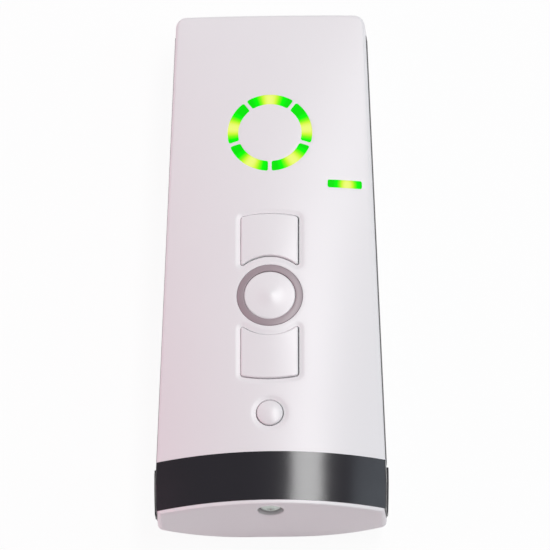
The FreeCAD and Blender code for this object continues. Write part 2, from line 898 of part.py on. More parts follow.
def radio_module():
    s0 = ring_from_end - module_lead
    s1 = s0 + module_length
    half, under = module_width / 2, board_under_z - module_board
    edge = module_can_margin
    board = box(-half, half, s0, s1, under, board_under_z)
    can = box(edge - half, half - edge, s0 + edge, s1 - edge, under - module_can_height, under)
    can = rounded(can, edge / 2, [e for e in can.Edges if upright(e)])
    return board, can


def antenna_wire():
    """A stiff wire loop under the far end of the board, soldered at both ends."""
    s = board_end - antenna_inset
    low = board_under_z - antenna_drop
    half, bend = board_half_width - antenna_edge_margin, antenna_bend
    slack = bend * (1 - math.sqrt(0.5))
    path = Part.Wire(
        [
            line(point(-half, s, board_under_z), point(-half, s, low + bend)),
            arc(point(-half, s, low + bend), point(slack - half, s, low + slack), point(bend - half, s, low)),
            line(point(bend - half, s, low), point(half - bend, s, low)),
            arc(point(half - bend, s, low), point(half - slack, s, low + slack), point(half, s, low + bend)),
            line(point(half, s, low + bend), point(half, s, board_under_z)),
        ]
    )
    circle = Part.Wire([Part.Circle(point(-half, s, board_under_z), UP, antenna_radius).toShape()])
    return path.makePipeShell([circle], True, False)


def end_screw():
    top = recess_depth - screw_head_height
    head = rod(screw_head_radius, 0, end_screw_z, top, recess_depth)
    head = rounded(head, screw_head_height / 3, [min(head.Edges, key=lambda e: e.CenterOfMass.y)])
    tip = recess_depth + screw_length
    body = head.fuse(rod(screw_radius, 0, end_screw_z, recess_depth - screw_head_height / 2, tip))
    for wide, tall in crossed(cross_length, cross_width):
        low, high = end_screw_z - tall / 2, end_screw_z + tall / 2
        body = body.cut(box(-wide / 2, wide / 2, 0, top + cross_depth, low, high))
    return body


# ---------------------------------------------------------------- the whole transmitter


def build():
    parts = {"black_band": black_band()}
    for name, side in SIDES.items():
        parts[f"side_trim_{name}"] = side_trim(side)
    trims = list(parts.values())
    parts["front_cover"] = front_cover(trims)
    parts["rear_cover"] = rear_cover(trims)
    parts["battery_door"] = battery_door()
    parts["battery_tray"] = battery_tray()
    parts["battery_cell_1"] = battery_cell(-1)
    parts["battery_cell_2"] = battery_cell(1)
    parts.update(battery_contacts())
    parts.update(key_caps())
    parts["stop_key_ring"] = stop_key_ring()
    for name, s in KEYS.items():
        parts[f"{name}_switch"] = switch_body(s)
        parts[f"{name}_plunger"] = switch_plunger(s)
    parts.update(lights())
    parts["circuit_board"] = circuit_board()
    parts["board_screws"] = board_screws()
    parts["board_components"] = small_parts()
    parts["controller_chip"], parts["crystal"] = chip_and_crystal()
    parts["radio_module_board"], parts["radio_shield_can"] = radio_module()
    parts["antenna_wire"] = antenna_wire()
    parts["end_screw"] = end_screw()
    return parts


def main():
    os.makedirs("parts", exist_ok=True)
    for name, shape in build().items():
        shape.exportStep(f"parts/{name}.step")


main()
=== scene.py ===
import bpy
import json
import math
import numpy as np
from mathutils import Matrix, Vector, geometry

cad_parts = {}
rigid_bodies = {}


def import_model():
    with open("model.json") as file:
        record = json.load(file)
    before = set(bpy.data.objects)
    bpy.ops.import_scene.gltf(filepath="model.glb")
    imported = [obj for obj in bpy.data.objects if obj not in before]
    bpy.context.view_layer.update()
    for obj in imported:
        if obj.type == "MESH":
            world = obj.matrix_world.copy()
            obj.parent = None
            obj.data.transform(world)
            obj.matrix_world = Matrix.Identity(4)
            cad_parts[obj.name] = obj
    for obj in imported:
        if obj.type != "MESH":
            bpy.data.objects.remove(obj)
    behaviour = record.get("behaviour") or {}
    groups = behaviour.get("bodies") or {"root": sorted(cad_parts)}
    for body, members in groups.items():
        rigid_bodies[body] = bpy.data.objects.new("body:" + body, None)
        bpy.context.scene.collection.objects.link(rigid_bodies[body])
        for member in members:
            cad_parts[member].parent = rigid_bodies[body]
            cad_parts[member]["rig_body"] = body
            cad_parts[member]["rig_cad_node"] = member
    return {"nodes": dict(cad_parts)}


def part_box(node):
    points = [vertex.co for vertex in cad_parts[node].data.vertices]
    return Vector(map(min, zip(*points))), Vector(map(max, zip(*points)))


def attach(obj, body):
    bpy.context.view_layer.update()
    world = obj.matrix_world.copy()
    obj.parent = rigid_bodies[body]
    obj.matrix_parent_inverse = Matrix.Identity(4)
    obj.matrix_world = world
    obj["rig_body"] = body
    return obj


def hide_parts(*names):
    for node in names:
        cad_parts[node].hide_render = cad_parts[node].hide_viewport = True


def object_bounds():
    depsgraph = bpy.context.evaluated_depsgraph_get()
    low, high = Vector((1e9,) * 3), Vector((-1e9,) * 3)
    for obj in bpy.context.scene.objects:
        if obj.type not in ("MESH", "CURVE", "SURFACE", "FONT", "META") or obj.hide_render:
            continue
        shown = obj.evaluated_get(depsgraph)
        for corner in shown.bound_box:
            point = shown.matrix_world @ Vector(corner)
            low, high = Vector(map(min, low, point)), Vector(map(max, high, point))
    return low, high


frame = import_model()
cad_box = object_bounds()
nodes = frame["nodes"]

# A handheld radio transmitter lying on its back. +X is its width, +Y runs from the screw end to the light
# end, and +Z is the front with the keys. Sizes are in millimetres, and become metres when a piece is made.

MM = 0.001
low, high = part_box("front_cover")
length = (high.y - low.y) / MM
seam_width_bottom = 59.4
seam_width_top = 48.6
seam_z = 12.0
front_wall = 2.0
side_wall = 2.0
stop_ring_radius = 8.35
channel_radius = 3.3
merged = 0.002 * MM  # points closer than this become one
nudge = 0.05  # on each side of a point, to find a slope


def middle(node):
    """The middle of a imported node's box."""
    a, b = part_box(node)
    return (a + b) / 2 / MM


def half_size(node):
    """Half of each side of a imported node's box."""
    a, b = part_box(node)
    return (b - a) / 2 / MM


# ---------------------------------------------------------------- the front face

reach_x, reach_y = 30, 68  # about half the width and half the length
lowest_front = 16  # every point of the front face lies above this
fit_rounds = 14  # each drops the points that lie off the face, such as those in the keys' openings


def curve_terms(x, y):
    """Even powers across the width, plain powers along the length."""
    u, v = (x / reach_x) ** 2, y / reach_y
    return np.stack([u**i * v**j for i in range(4) for j in range(4)], -1)


def read_front_face():
    """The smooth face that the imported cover's front follows."""
    mesh = nodes["front_cover"].data
    facing = [f for f in mesh.polygons if f.normal.z > 0.9 and f.center.z > lowest_front * MM]
    chosen = sorted({v for f in facing for v in f.vertices})
    pts = np.array([mesh.vertices[i].co for i in chosen]) / MM
    keep = np.ones(len(pts), bool)
    for _ in range(fit_rounds):
        terms = curve_terms(pts[:, 0], pts[:, 1])
        found = np.linalg.lstsq(terms[keep], pts[keep, 2], rcond=None)[0]
        off = pts[:, 2] - terms @ found
        keep = np.abs(off) < max(0.01, 2 * np.std(off[keep]))
    return found


FRONT = read_front_face()


def front_z(x, y):
    """The height of the front face."""
    return curve_terms(np.asarray(x, float), np.asarray(y, float)) @ FRONT


# ---------------------------------------------------------------- outlines in plan

class Outline:
    """A closed outline in plan: points, and the direction that points out of it at each."""

    def __init__(self, points, out):
        self.points = np.array(points, float)
        self.out = np.array(out, float)
        self.out /= np.linalg.norm(self.out, axis=1)[:, None]

    def grown(self, by):
        """The points, moved outwards."""
        return self.points + self.out * by


def swept(centre, radius, start, end, count, facing=1):
    """Points along an arc, and their directions: away from its centre, or with facing -1 towards it."""
    angles = np.linspace(start, end, count)
    out = np.stack([np.cos(angles), np.sin(angles)], -1)
    return np.array(centre) + radius * out, out * facing


def round_outline(centre, radius, count):
    """A circle, anticlockwise."""
    points, out = swept(centre, radius, 0, 2 * math.pi, count + 1)
    return Outline(points[:-1], out[:-1])


corner_step = 0.16  # radians between the points of a small corner


def cornered(runs, corners):
    """Joins runs of points with a round corner after each, of its own radius."""
    points, out = [], []
    for (p, n), (q, m), corner in zip(runs, runs[1:] + runs[:1], corners):
        points.extend(p)
        out.extend(n)
        a, b = math.atan2(n[-1][1], n[-1][0]), math.atan2(m[0][1], m[0][0])
        turn = (b - a) % (2 * math.pi)
        steps = max(2, int(turn / corner_step))
        for k in range(1, steps):
            angle = a + turn * k / steps
            direction = np.array([math.cos(angle), math.sin(angle)])
            points.append(p[-1] + (direction - n[-1]) * corner)
            out.append(direction)
    return Outline(points, out)


def straight(a, b, count):
    """A run from a to b, with its outside on the right."""
    a, b = np.array(a, float), np.array(b, float)
    points = a + (b - a) * np.linspace(0, 1, count)[:, None]
    d = (b - a) / np.linalg.norm(b - a)
    return points, np.tile([d[1], -d[0]], (count, 1))


key_half = 7.25  # half the width of a long key
key_inner = 10.9  # radius of its edge beside the stop key
key_reach = 22.6  # from the stop key's centre to its outer edge
key_edge = 33.0  # radius of that bowed edge
key_corner = 0.85
key_inner_corner = 0.4


def long_key_outline(side):
    """Anticlockwise outline of the up key (+1) or the down key (-1) round the stop key's centre."""
    c = middle("stop_key_ring")
    edge_x, near_x = key_half - key_corner, key_half - key_inner_corner
    edge_reach, near_reach = key_edge - key_corner, key_inner + key_inner_corner
    foot = math.sqrt(near_reach**2 - near_x**2)
    top = key_reach - key_edge + math.sqrt(edge_reach**2 - edge_x**2)
    lean, bow = math.asin(near_x / near_reach), math.asin(edge_x / edge_reach)
    right = straight((key_half, foot), (key_half, top), 14)
    outer = swept((0, key_reach - key_edge), key_edge, math.pi / 2 - bow, math.pi / 2 + bow, 18)
    left = straight((-key_half, top), (-key_half, foot), 14)
    near = swept((0, 0), key_inner, math.pi / 2 + lean, math.pi / 2 - lean, 20, -1)
    corners = (key_corner, key_corner, key_inner_corner, key_inner_corner)
    shape = cornered([right, outer, left, near], corners)
    if side < 0:
        shape = Outline(shape.points[::-1] * (1, -1), shape.out[::-1] * (1, -1))
    shape.points += (c.x, c.y)
    return shape


ring_outer = 10.75
ring_inner = 8.1
segment_gap = 1.0
light_corner = 0.45


def ring_centre():
    """The middle of the ring of lights, from the top of its first segment."""
    tops = [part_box(f"ring_light_guide_{i}")[1].y / MM for i in range(1, 6)]
    return middle("ring_light_guide_1").x, max(tops) - ring_outer


def segment_outline(k):
    """One lit segment of the ring, counted clockwise from the light end."""
    r = light_corner
    far, near, off = ring_outer - r, ring_inner + r, segment_gap / 2 + r
    share = math.pi / 5
    a, b = share - math.asin(off / far), share - math.asin(off / near)
    bearing = math.pi / 2 - k * 2 * share
    out = swept((0, 0), ring_outer, bearing - a, bearing + a, 22)
    back = swept((0, 0), ring_inner, bearing + b, bearing - b, 16, -1)

    def end(p, q, ahead):
        """The straight end beside a gap, which runs along a radius."""
        shift = np.array([math.cos(ahead), math.sin(ahead)]) * r
        return straight(p[0] - p[1] * r + shift, q[0] - q[1] * r + shift, 3)

    first = end((out[0][-1], out[1][-1]), (back[0][0], back[1][0]), bearing + share + math.pi / 2)
    last = end((back[0][-1], back[1][-1]), (out[0][0], out[1][0]), bearing - share - math.pi / 2)
    shape = cornered([out, first, back, last], (r, r, r, r))
    shape.points += ring_centre()
    return shape


def bar_outline():
    """The lit bar, with the same small corners as the ring's segments."""
    c, h, r = middle("bar_light_guide"), half_size("bar_light_guide"), light_corner
    a, b = h.x - r, h.y - r
    ends = [((h.x, -b), (h.x, b)), ((a, h.y), (-a, h.y)), ((-h.x, b), (-h.x, -b)), ((-a, -h.y), (a, -h.y))]
    shape = cornered([straight(p, q, 8) for p, q in ends], (r, r, r, r))
    shape.points += (c.x, c.y)
    return shape


draw_in_run = 14.0  # each side draws in over this run up to the screw end
draw_in = 0.75
plan_corner_bottom = 1.6
plan_corner_top = 3.0
least_corner = 0.25  # share of a corner's radius that is kept inside the walls


def case_half_width(s):
    """Half the width at a distance from the screw end."""
    u = min(1.0, s / draw_in_run)
    drawn = draw_in * (1 - u) - draw_in / 2 * u * (1 - u)
    return (seam_width_bottom + (seam_width_top - seam_width_bottom) * s / length) / 2 - drawn


def case_outline(inset):
    """The housing's outline at the seam, anticlockwise from the screw end's left corner."""
    points, out = [], []
    r0, r1 = (max(r - inset, r * least_corner) for r in (plan_corner_bottom, plan_corner_top))
    y0, y1 = -length / 2 + inset, length / 2 - inset

    def side_run(sign):
        """One long side, from the screw end."""
        rows = []
        drawn = np.linspace(r0 + inset, draw_in_run, 12)
        straight_on = np.linspace(draw_in_run + 1.4, length - r1 - inset, 86)
        for s in np.concatenate([drawn, straight_on]):
            w = case_half_width(s) - inset
            slope = (case_half_width(s + nudge) - case_half_width(s - nudge)) / (2 * nudge)
            rows.append(((sign * w, s - length / 2), (sign * 1.0, -slope)))
        return rows

    def corner(centre, radius, start, end):
        p, n = swept(centre, radius, start, end, 9)
        return list(zip(map(tuple, p), map(tuple, n)))

    w0, w1 = case_half_width(r0 + inset) - inset, case_half_width(length - r1 - inset) - inset
    runs = [((x, y0), (0, -1)) for x in np.linspace(-w0 + r0, w0 - r0, 52)]
    runs += corner((w0 - r0, y0 + r0), r0, -math.pi / 2, 0)[1:-1]
    runs += side_run(1)
    runs += corner((w1 - r1, y1 - r1), r1, 0, math.pi / 2)[1:-1]
    runs += [((x, y1), (0, 1)) for x in np.linspace(w1 - r1, -w1 + r1, 42)]
    runs += corner((-w1 + r1, y1 - r1), r1, math.pi / 2, math.pi)[1:-1]
    runs += side_run(-1)[::-1]
    runs += corner((-w0 + r0, y0 + r0), r0, math.pi, 1.5 * math.pi)[1:-1]
    for p, n in runs:
        points.append(p)
        out.append(n)
    return Outline(points, out)


# ---------------------------------------------------------------- curved sheets between outlines

def inside(points, loop):
    """True for each point that lies within a closed loop."""
    x, y = points[:, 0], points[:, 1]
    found = np.zeros(len(points), bool)
    for (ax, ay), (bx, by) in zip(loop[:, :2], np.roll(loop[:, :2], -1, 0)):
        if ay == by:
            continue
        crosses = (ay > y) != (by > y)
        found ^= crosses & (x < (bx - ax) * (y - ay) / (by - ay) + ax)
    return found


def near_any(points, others, reach):
    """True for each point that lies within reach of another. Batches keep the arrays small."""
    found = np.zeros(len(points), bool)
    batch = 2000
    for start in range(0, len(points), batch):
        part = points[start : start + batch, None, :2] - others[None, :, :2]
        found[start : start + batch] = (part**2).sum(-1).min(1) < reach**2
    return found


row_step = 0.87  # of a sheet's pitch, between rows, for nearly even triangles
rim_room = 0.55  # of the pitch, kept free beside a loop


class Shell:
    """Collects the points and faces of one piece, in millimetres."""

    def __init__(self):
        self.points = []
        self.faces = []

    def loop(self, points, z):
        """Adds points at one height, or at a height each, and returns their numbers."""
        start = len(self.points)
        z = np.broadcast_to(z, len(points))
        self.points.extend((p[0], p[1], h) for p, h in zip(points, z))
        return list(range(start, start + len(points)))

    def strip(self, a, b):
        """A band of faces between two loops of the same count."""
        n = len(a)
        self.faces.extend((a[i], a[(i + 1) % n], b[(i + 1) % n], b[i]) for i in range(n))

    def sheet(self, rim, holes, rings, pitch, height):
        """Fills the rim with a sheet that has those holes and runs through the rings. All are made loops."""
        loops = [rim] + holes + rings
        ids = [i for loop in loops for i in loop]
        edges, start = [], 0
        for loop in loops:
            n = len(loop)
            edges += [(start + i, start + (i + 1) % n) for i in range(n)]
            start += n
        pts = np.array([self.points[i] for i in ids])
        x0, y0 = pts[:, :2].min(0)
        x1, y1 = pts[:, :2].max(0)
        rows = []
        for k, y in enumerate(np.arange(y0 + pitch / 2, y1, pitch * row_step)):
            rows += [(x + (k % 2) * pitch / 2, y) for x in np.arange(x0 + pitch / 2, x1, pitch)]
        grid = np.array(rows)
        ok = inside(grid, pts[: len(rim)])
        for loop in holes + rings:
            ok &= ~inside(grid, np.array([self.points[i] for i in loop]))
        grid = grid[ok]
        grid = grid[~near_any(grid, pts, pitch * rim_room)]
        new = self.loop(grid, height(grid[:, 0], grid[:, 1]))
        ids += new
        flat = [Vector(self.points[i][:2]) for i in ids]
        done = geometry.delaunay_2d_cdt(flat, edges, [], 0, 1e-7)
        back = [ids[o[0]] for o in done[3]]
        tri = np.array([[back[i] for i in f] for f in done[2]])
        centre = np.array(self.points)[tri][:, :, :2].mean(1)
        ok = inside(centre, pts[: len(rim)])
        for loop in holes:
            ok &= ~inside(centre, np.array([self.points[i] for i in loop]))
        self.faces.extend(tuple(t) for t in tri[ok])

    def make(self, name, sharp):
        """The finished piece, facing outwards. Edges that turn by more than sharp degrees stay crisp."""
        mesh = bpy.data.meshes.new(name)
        mesh.from_pydata([(x * MM, y * MM, z * MM) for x, y, z in self.points], [], self.faces)
        mesh.validate()
        piece = bpy.data.objects.new(name, mesh)
        bpy.context.scene.collection.objects.link(piece)
        edit(piece)
        bpy.ops.mesh.delete_loose()
        bpy.ops.mesh.select_all(action="SELECT")
        bpy.ops.mesh.normals_make_consistent(inside=False)
        bpy.ops.object.mode_set(mode="OBJECT")
        bpy.ops.object.shade_smooth_by_angle(angle=math.radians(sharp))
        return piece


def take(piece):
    """Leaves only this piece selected and active."""
    if bpy.context.object and bpy.context.object.mode != "OBJECT":
        bpy.ops.object.mode_set(mode="OBJECT")
    for other in bpy.context.view_layer.objects:
        other.select_set(False)
    piece.select_set(True)
    bpy.context.view_layer.objects.active = piece
    return piece


def edit(piece):
    """Opens a piece in edit mode with all of it selected."""
    take(piece)
    bpy.ops.object.mode_set(mode="EDIT")
    bpy.ops.mesh.select_all(action="SELECT")


def apply_all(piece):
    """Applies the modifiers and the placing, which leaves the piece at the origin."""
    take(piece)
    for modifier in list(piece.modifiers):
        bpy.ops.object.modifier_apply(modifier=modifier.name)
    bpy.ops.object.transform_apply(location=True, rotation=True, scale=True)
    return piece


def combine(piece, other, how):
    """Joins other to a piece, or cuts it away, and removes it."""
    modifier = piece.modifiers.new("boolean", "BOOLEAN")
    modifier.operation = how
    modifier.solver = "EXACT"
    modifier.object = other
    apply_all(piece)
    bpy.data.objects.remove(other)
    return piece


def rod_along(x, z, y0, y1, radius, count=64):
    """A round bar along the length."""
    bpy.ops.mesh.primitive_cylinder_add(
        vertices=count, radius=radius * MM, depth=(y1 - y0) * MM,
        location=(x * MM, (y0 + y1) / 2 * MM, z * MM), rotation=(math.pi / 2, 0, 0),
    )
    return bpy.context.object


def copy_of_node(node, name):
    """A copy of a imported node's mesh with its loose triangles merged."""
    piece = nodes[node].copy()
    piece.data = nodes[node].data.copy()
    piece.name = name
    piece.parent = None
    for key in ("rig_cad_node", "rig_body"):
        if key in piece:
            del piece[key]
    bpy.context.scene.collection.objects.link(piece)
    edit(piece)
    bpy.ops.mesh.customdata_custom_splitnormals_clear()
    bpy.ops.mesh.remove_doubles(threshold=merged)
    bpy.ops.object.mode_set(mode="OBJECT")
    return piece


def turned(name, profile, centre, count=96, sharp=30):
    """A piece spun round the upright axis from a profile of radii and heights."""
    mesh = bpy.data.meshes.new(name)
    points = [((centre[0] + r) * MM, centre[1] * MM, z * MM) for r, z in profile]
    mesh.from_pydata(points, [(i, i + 1) for i in range(len(points) - 1)], [])
    piece = bpy.data.objects.new(name, mesh)
    bpy.context.scene.collection.objects.link(piece)
    edit(piece)
    bpy.ops.mesh.spin(
        steps=count, angle=2 * math.pi, center=(centre[0] * MM, centre[1] * MM, 0), axis=(0, 0, 1)
    )
    bpy.ops.mesh.select_all(action="SELECT")
    bpy.ops.mesh.remove_doubles(threshold=merged)
    bpy.ops.mesh.normals_make_consistent(inside=False)
    bpy.ops.object.mode_set(mode="OBJECT")
    bpy.ops.object.shade_smooth_by_angle(angle=math.radians(sharp))
    return piece


def drape(piece, x, y):
    """Lets a flat-made piece follow the front face, level at one place."""
    level_z = front_z(x, y)
    for vertex in piece.data.vertices:
        vertex.co.z += float(front_z(vertex.co.x / MM, vertex.co.y / MM) - level_z) * MM
    return piece


def place(piece, body, slot, *stands_for):
    """Rides a piece on its body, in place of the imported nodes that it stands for."""
    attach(piece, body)
    if stands_for:
        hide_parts(*stands_for)
    return piece


# ---------------------------------------------------------------- materials

def colour(hex_code):
    """sRGB hex to linear."""
    parts = [int(hex_code[i : i + 2], 16) / 255 for i in (1, 3, 5)]
    return tuple(c / 12.92 if c <= 0.04045 else ((c + 0.055) / 1.055) ** 2.4 for c in parts) + (1.0,)


def add(tree, kind, settings=None, **inputs):
    """Adds a node. Inputs are values, or (node, output) pairs to link, by name or as i and a number."""
    made = tree.nodes.new(kind)
    for key, value in (settings or {}).items():
        setattr(made, key, value)
    for key, value in inputs.items():
        numbered = key[0] == "i" and key[1:].isdigit()
        socket = made.inputs[int(key[1:]) if numbered else key.replace("_", " ")]
        if isinstance(value, tuple) and len(value) == 2 and isinstance(value[0], bpy.types.Node):
            tree.links.new(value[0].outputs[value[1]], socket)
        else:
            socket.default_value = value
    return made


def blank(name):
    """A new material with no nodes yet, and its tree."""
    mat = bpy.data.materials.new(name)
    mat.use_nodes = True
    tree = mat.node_tree
    tree.nodes.clear()
    return mat, tree


def finish_with(tree, shader):
    add(tree, "ShaderNodeOutputMaterial", Surface=(shader, 0))


def moulded(name, light, dark, mottle_mm, roughness, spread, ior, grain_mm, grain_depth):
    """A moulded surface: two close tones, roughness that wanders a little, and a fine skin."""
    mat, tree = blank(name)
    where = add(tree, "ShaderNodeTexCoord")
    broad = add(tree, "ShaderNodeTexNoise", Vector=(where, "Object"), Scale=1000 / mottle_mm, Detail=3.0)
    tone = add(
        tree, "ShaderNodeMix", {"data_type": "RGBA"}, Factor=(broad, 0), i6=colour(light), i7=colour(dark)
    )
    rough = add(tree, "ShaderNodeMapRange", Value=(broad, 0), i3=roughness - spread, i4=roughness + spread)
    fine = add(tree, "ShaderNodeTexNoise", Vector=(where, "Object"), Scale=1000 / grain_mm, Detail=2.0)
    bump = add(tree, "ShaderNodeBump", Strength=grain_depth, Distance=0.0001, Height=(fine, 0))
    shader = add(
        tree, "ShaderNodeBsdfPrincipled", Base_Color=(tone, 2), Roughness=(rough, 0), IOR=ior,
        Normal=(bump, 0),
    )
    finish_with(tree, shader)
    return mat


# Gloss white ABS from a polished tool: clean white with a faint warm drift and a soft, wide highlight
white_abs = moulded("abs_white_gloss", "#ecebec", "#e8e6e8", 32, 0.36, 0.03, 1.53, 1.6, 0.05)
# The keys: the same ABS from a separate tool, a touch glossier
white_key = moulded("abs_white_key", "#ecebec", "#e8e6e8", 18, 0.30, 0.03, 1.53, 1.2, 0.05)
# Black polycarbonate trim band: deep black, sharp reflections
black_gloss = moulded("polycarbonate_black_gloss", "#1b1a20", "#201e25", 14, 0.17, 0.02, 1.585, 2.2, 0.03)
# Dark grey TPE side strips: matt, slightly grained. Their very dark grey is partly painted shade, made as
# dark as the shaded line down each flank
grey_trim = moulded("tpe_dark_grey_and_painted_shade", "#2f2d32", "#37353a", 6, 0.55, 0.05, 1.5, 0.25, 0.25)
# Painted grey ABS ring: warm grey, satin
grey_ring = moulded("abs_grey_satin", "#9c8e93", "#a4969c", 5, 0.34, 0.04, 1.53, 0.3, 0.08)
# White polycarbonate light shields: matt, bright
white_shield = moulded("polycarbonate_white_matt", "#efeeea", "#e6e5e0", 8, 0.5, 0.05, 1.58, 0.4, 0.2)
# LED packages: cream silicone over a ceramic cup
led_body = moulded("silicone_led_cream", "#f1ecc9", "#e4dcae", 1.5, 0.35, 0.05, 1.41, 0.3, 0.1)
# Epoxy moulding compound of chips: dull black, fine filler grain
black_chip = moulded("epoxy_chip_black", "#1b1c1d", "#242526", 2, 0.6, 0.08, 1.55, 0.12, 0.4)
# Spark-eroded black ABS of the battery tray
black_tray = moulded("abs_black_textured", "#1f2022", "#29292c", 5, 0.62, 0.06, 1.53, 0.35, 0.5)
# Ceramic chip components: tan bodies
component_body = moulded("ceramic_tan", "#a98c62", "#c0a67e", 1.2, 0.45, 0.08, 1.6, 0.2, 0.2)


def metal(name, light, dark, streak_mm, roughness, spread, stretch):
    """A metal with fine drawn or brushed streaks along one direction."""
    mat, tree = blank(name)
    where = add(tree, "ShaderNodeTexCoord")
    drawn = add(tree, "ShaderNodeMapping", Vector=(where, "Object"), Scale=stretch)
    streak = add(tree, "ShaderNodeTexNoise", Vector=(drawn, 0), Scale=1000 / streak_mm, Detail=4.0)
    tone = add(
        tree, "ShaderNodeMix", {"data_type": "RGBA"}, Factor=(streak, 0), i6=colour(light), i7=colour(dark)
    )
    rough = add(tree, "ShaderNodeMapRange", Value=(streak, 0), i3=roughness - spread, i4=roughness + spread)
    bump = add(tree, "ShaderNodeBump", Strength=0.12, Distance=0.0001, Height=(streak, 0))
    shader = add(
        tree, "ShaderNodeBsdfPrincipled", Base_Color=(tone, 2), Metallic=1.0, Roughness=(rough, 0),
        Normal=(bump, 0),
    )
    finish_with(tree, shader)
    return mat


# Tin-plated steel shield can: pale, faintly drawn
metal_can = metal("tinplate_drawn", "#d5d6d8", "#bcbec2", 0.6, 0.3, 0.06, (1, 0.15, 1))
# Nickel-plated spring steel contacts
nickel_contact = metal("nickel_plated_steel", "#d8d3c8", "#bfb9ac", 0.5, 0.24, 0.05, (1, 1, 0.2))
# Bare drawn copper of the antenna wire: warm, with fine streaks along it
copper_wire = metal("copper_bare_drawn", "#d49a6c", "#c98a5c", 0.5, 0.3, 0.05, (0.2, 1, 1))
# Zinc-plated screws: grey with a faint green-blue passivation
zinc_screw = metal("zinc_passivated_steel", "#c6ccc8", "#adb4af", 0.5, 0.38, 0.06, (1, 1, 1))


def board_finish():
    """Green solder mask over FR4: tracks show as slightly raised, lighter lines on a 1.27 mm pitch."""
    mat, tree = blank("fr4_green_mask")
    where = add(tree, "ShaderNodeTexCoord")
    four_tracks_mm = 5.08
    track = add(
        tree, "ShaderNodeTexBrick", {"offset": 0.5, "squash": 1.0}, Vector=(where, "Object"),
        Scale=1000 / four_tracks_mm, Color1=colour("#1c5a34"), Color2=colour("#206239"),
        Mortar=colour("#2f7d4c"), i6=0.0, i7=0.25, i8=0.5,
    )
    bump = add(tree, "ShaderNodeBump", Strength=0.3, Distance=0.00005, Height=(track, 1))
    shader = add(
        tree, "ShaderNodeBsdfPrincipled", Base_Color=(track, 0), Roughness=0.35, IOR=1.5, Normal=(bump, 0)
    )
    finish_with(tree, shader)
    return mat


green_board = board_finish()


# A cell's printed PVC sleeve: graphite, smooth and slightly glossy
cell_jacket = moulded("pvc_sleeve_graphite", "#3a3f45", "#42474e", 9, 0.3, 0.04, 1.53, 1.0, 0.05)
# The sleeve's positive third: metallic copper ink under clear PVC, which gives it a warm metal shine
sleeve_copper = metal("pvc_sleeve_copper_ink", "#c07a45", "#b56f3c", 0.8, 0.28, 0.04, (1, 0.3, 1))


def glow(tree, heat):
    """Lit green acrylic: yellow where the LED sits, pure green away from it."""
    ramp = add(tree, "ShaderNodeValToRGB", Fac=heat)
    stops = ramp.color_ramp.elements
    stops[0].position, stops[0].color = 0.0, colour("#04e606")
    stops[1].position, stops[1].color = 1.0, colour("#effc7c")
    for where, code in ((0.05, "#02f604"), (0.24, "#00ff00"), (0.52, "#80fa16"), (0.78, "#d4f83c")):
        stop = stops.new(where)
        stop.color = colour(code)
    shader = add(
        tree, "ShaderNodeBsdfPrincipled", Base_Color=colour("#021802"), Roughness=0.5, IOR=1.49,
        Specular_IOR_Level=0.05, Emission_Color=(ramp, 0), Emission_Strength=1.0,
    )
    finish_with(tree, shader)


def ring_light_finish(k, along):
    """Acrylic segment k, with its LED a share along from the middle, clockwise."""
    mat, tree = blank(f"acrylic_lit_green_{k}")
    share = 2 * math.pi / 5
    bearing = math.pi / 2 - (k - 1) * share - along * share
    x, y = ring_centre()
    where = add(tree, "ShaderNodeTexCoord")
    local = add(
        tree, "ShaderNodeMapping", {"vector_type": "TEXTURE"}, Vector=(where, "Object"),
        Location=(x * MM, y * MM, 0), Rotation=(0, 0, bearing),
    )
    split = add(tree, "ShaderNodeSeparateXYZ", Vector=(local, 0))
    angle = add(tree, "ShaderNodeMath", {"operation": "ARCTAN2"}, i0=(split, 1), i1=(split, 0))
    off = add(tree, "ShaderNodeMath", {"operation": "ABSOLUTE"}, i0=(angle, 0))
    heat = add(
        tree, "ShaderNodeMapRange", {"interpolation_type": "SMOOTHSTEP"}, Value=(off, 0),
        i1=share * 0.02, i2=share * 0.38, i3=1.0, i4=0.0,
    )
    glow(tree, (heat, 0))
    return mat


def bar_light_finish():
    """The acrylic bar, with its LED a little to the right of its middle."""
    mat, tree = blank("acrylic_lit_green_bar")
    c = middle("bar_light_guide")
    where = add(tree, "ShaderNodeTexCoord")
    local = add(
        tree, "ShaderNodeMapping", {"vector_type": "TEXTURE"}, Vector=(where, "Object"),
        Location=((c.x + 0.6) * MM, (c.y - 0.3) * MM, 0), Scale=(1, 1.5, 1),
    )
    split = add(tree, "ShaderNodeSeparateXYZ", Vector=(local, 0))
    flat = add(tree, "ShaderNodeCombineXYZ", X=(split, 0), Y=(split, 1))
    off = add(tree, "ShaderNodeVectorMath", {"operation": "LENGTH"}, i0=(flat, 0))
    heat = add(
        tree, "ShaderNodeMapRange", {"interpolation_type": "SMOOTHSTEP"}, Value=(off, 1),
        i1=0.3 * MM, i2=3.6 * MM, i3=1.0, i4=0.0,
    )
    glow(tree, (heat, 0))
    return mat


def coat(piece, mat):
    """Gives all of a piece one material."""
    piece.data.materials.clear()
    piece.data.materials.append(mat)


# ---------------------------------------------------------------- front cover

lip_dish = 0.3  # the face dips this much towards a key
dish_width = 1.5
side_round = 0.9  # of the front edge along the flanks
end_round = 0.55  # of the front edge at the screw end
flank_lean = 0.35 / 8.0  # inwards, for each millimetre above the seam


def dip(distance, dish, edge):
    """How far the face lies below its plain form, at a distance from an opening's wall."""
    u = np.clip(1 - distance / dish_width, 0, 1)
    fall = dish * u * u * (3 - 2 * u)
    v = np.clip(1 - distance / edge, 0, 1)
    return fall + edge * (1 - math.sqrt(max(0.0, 1 - v * v)))


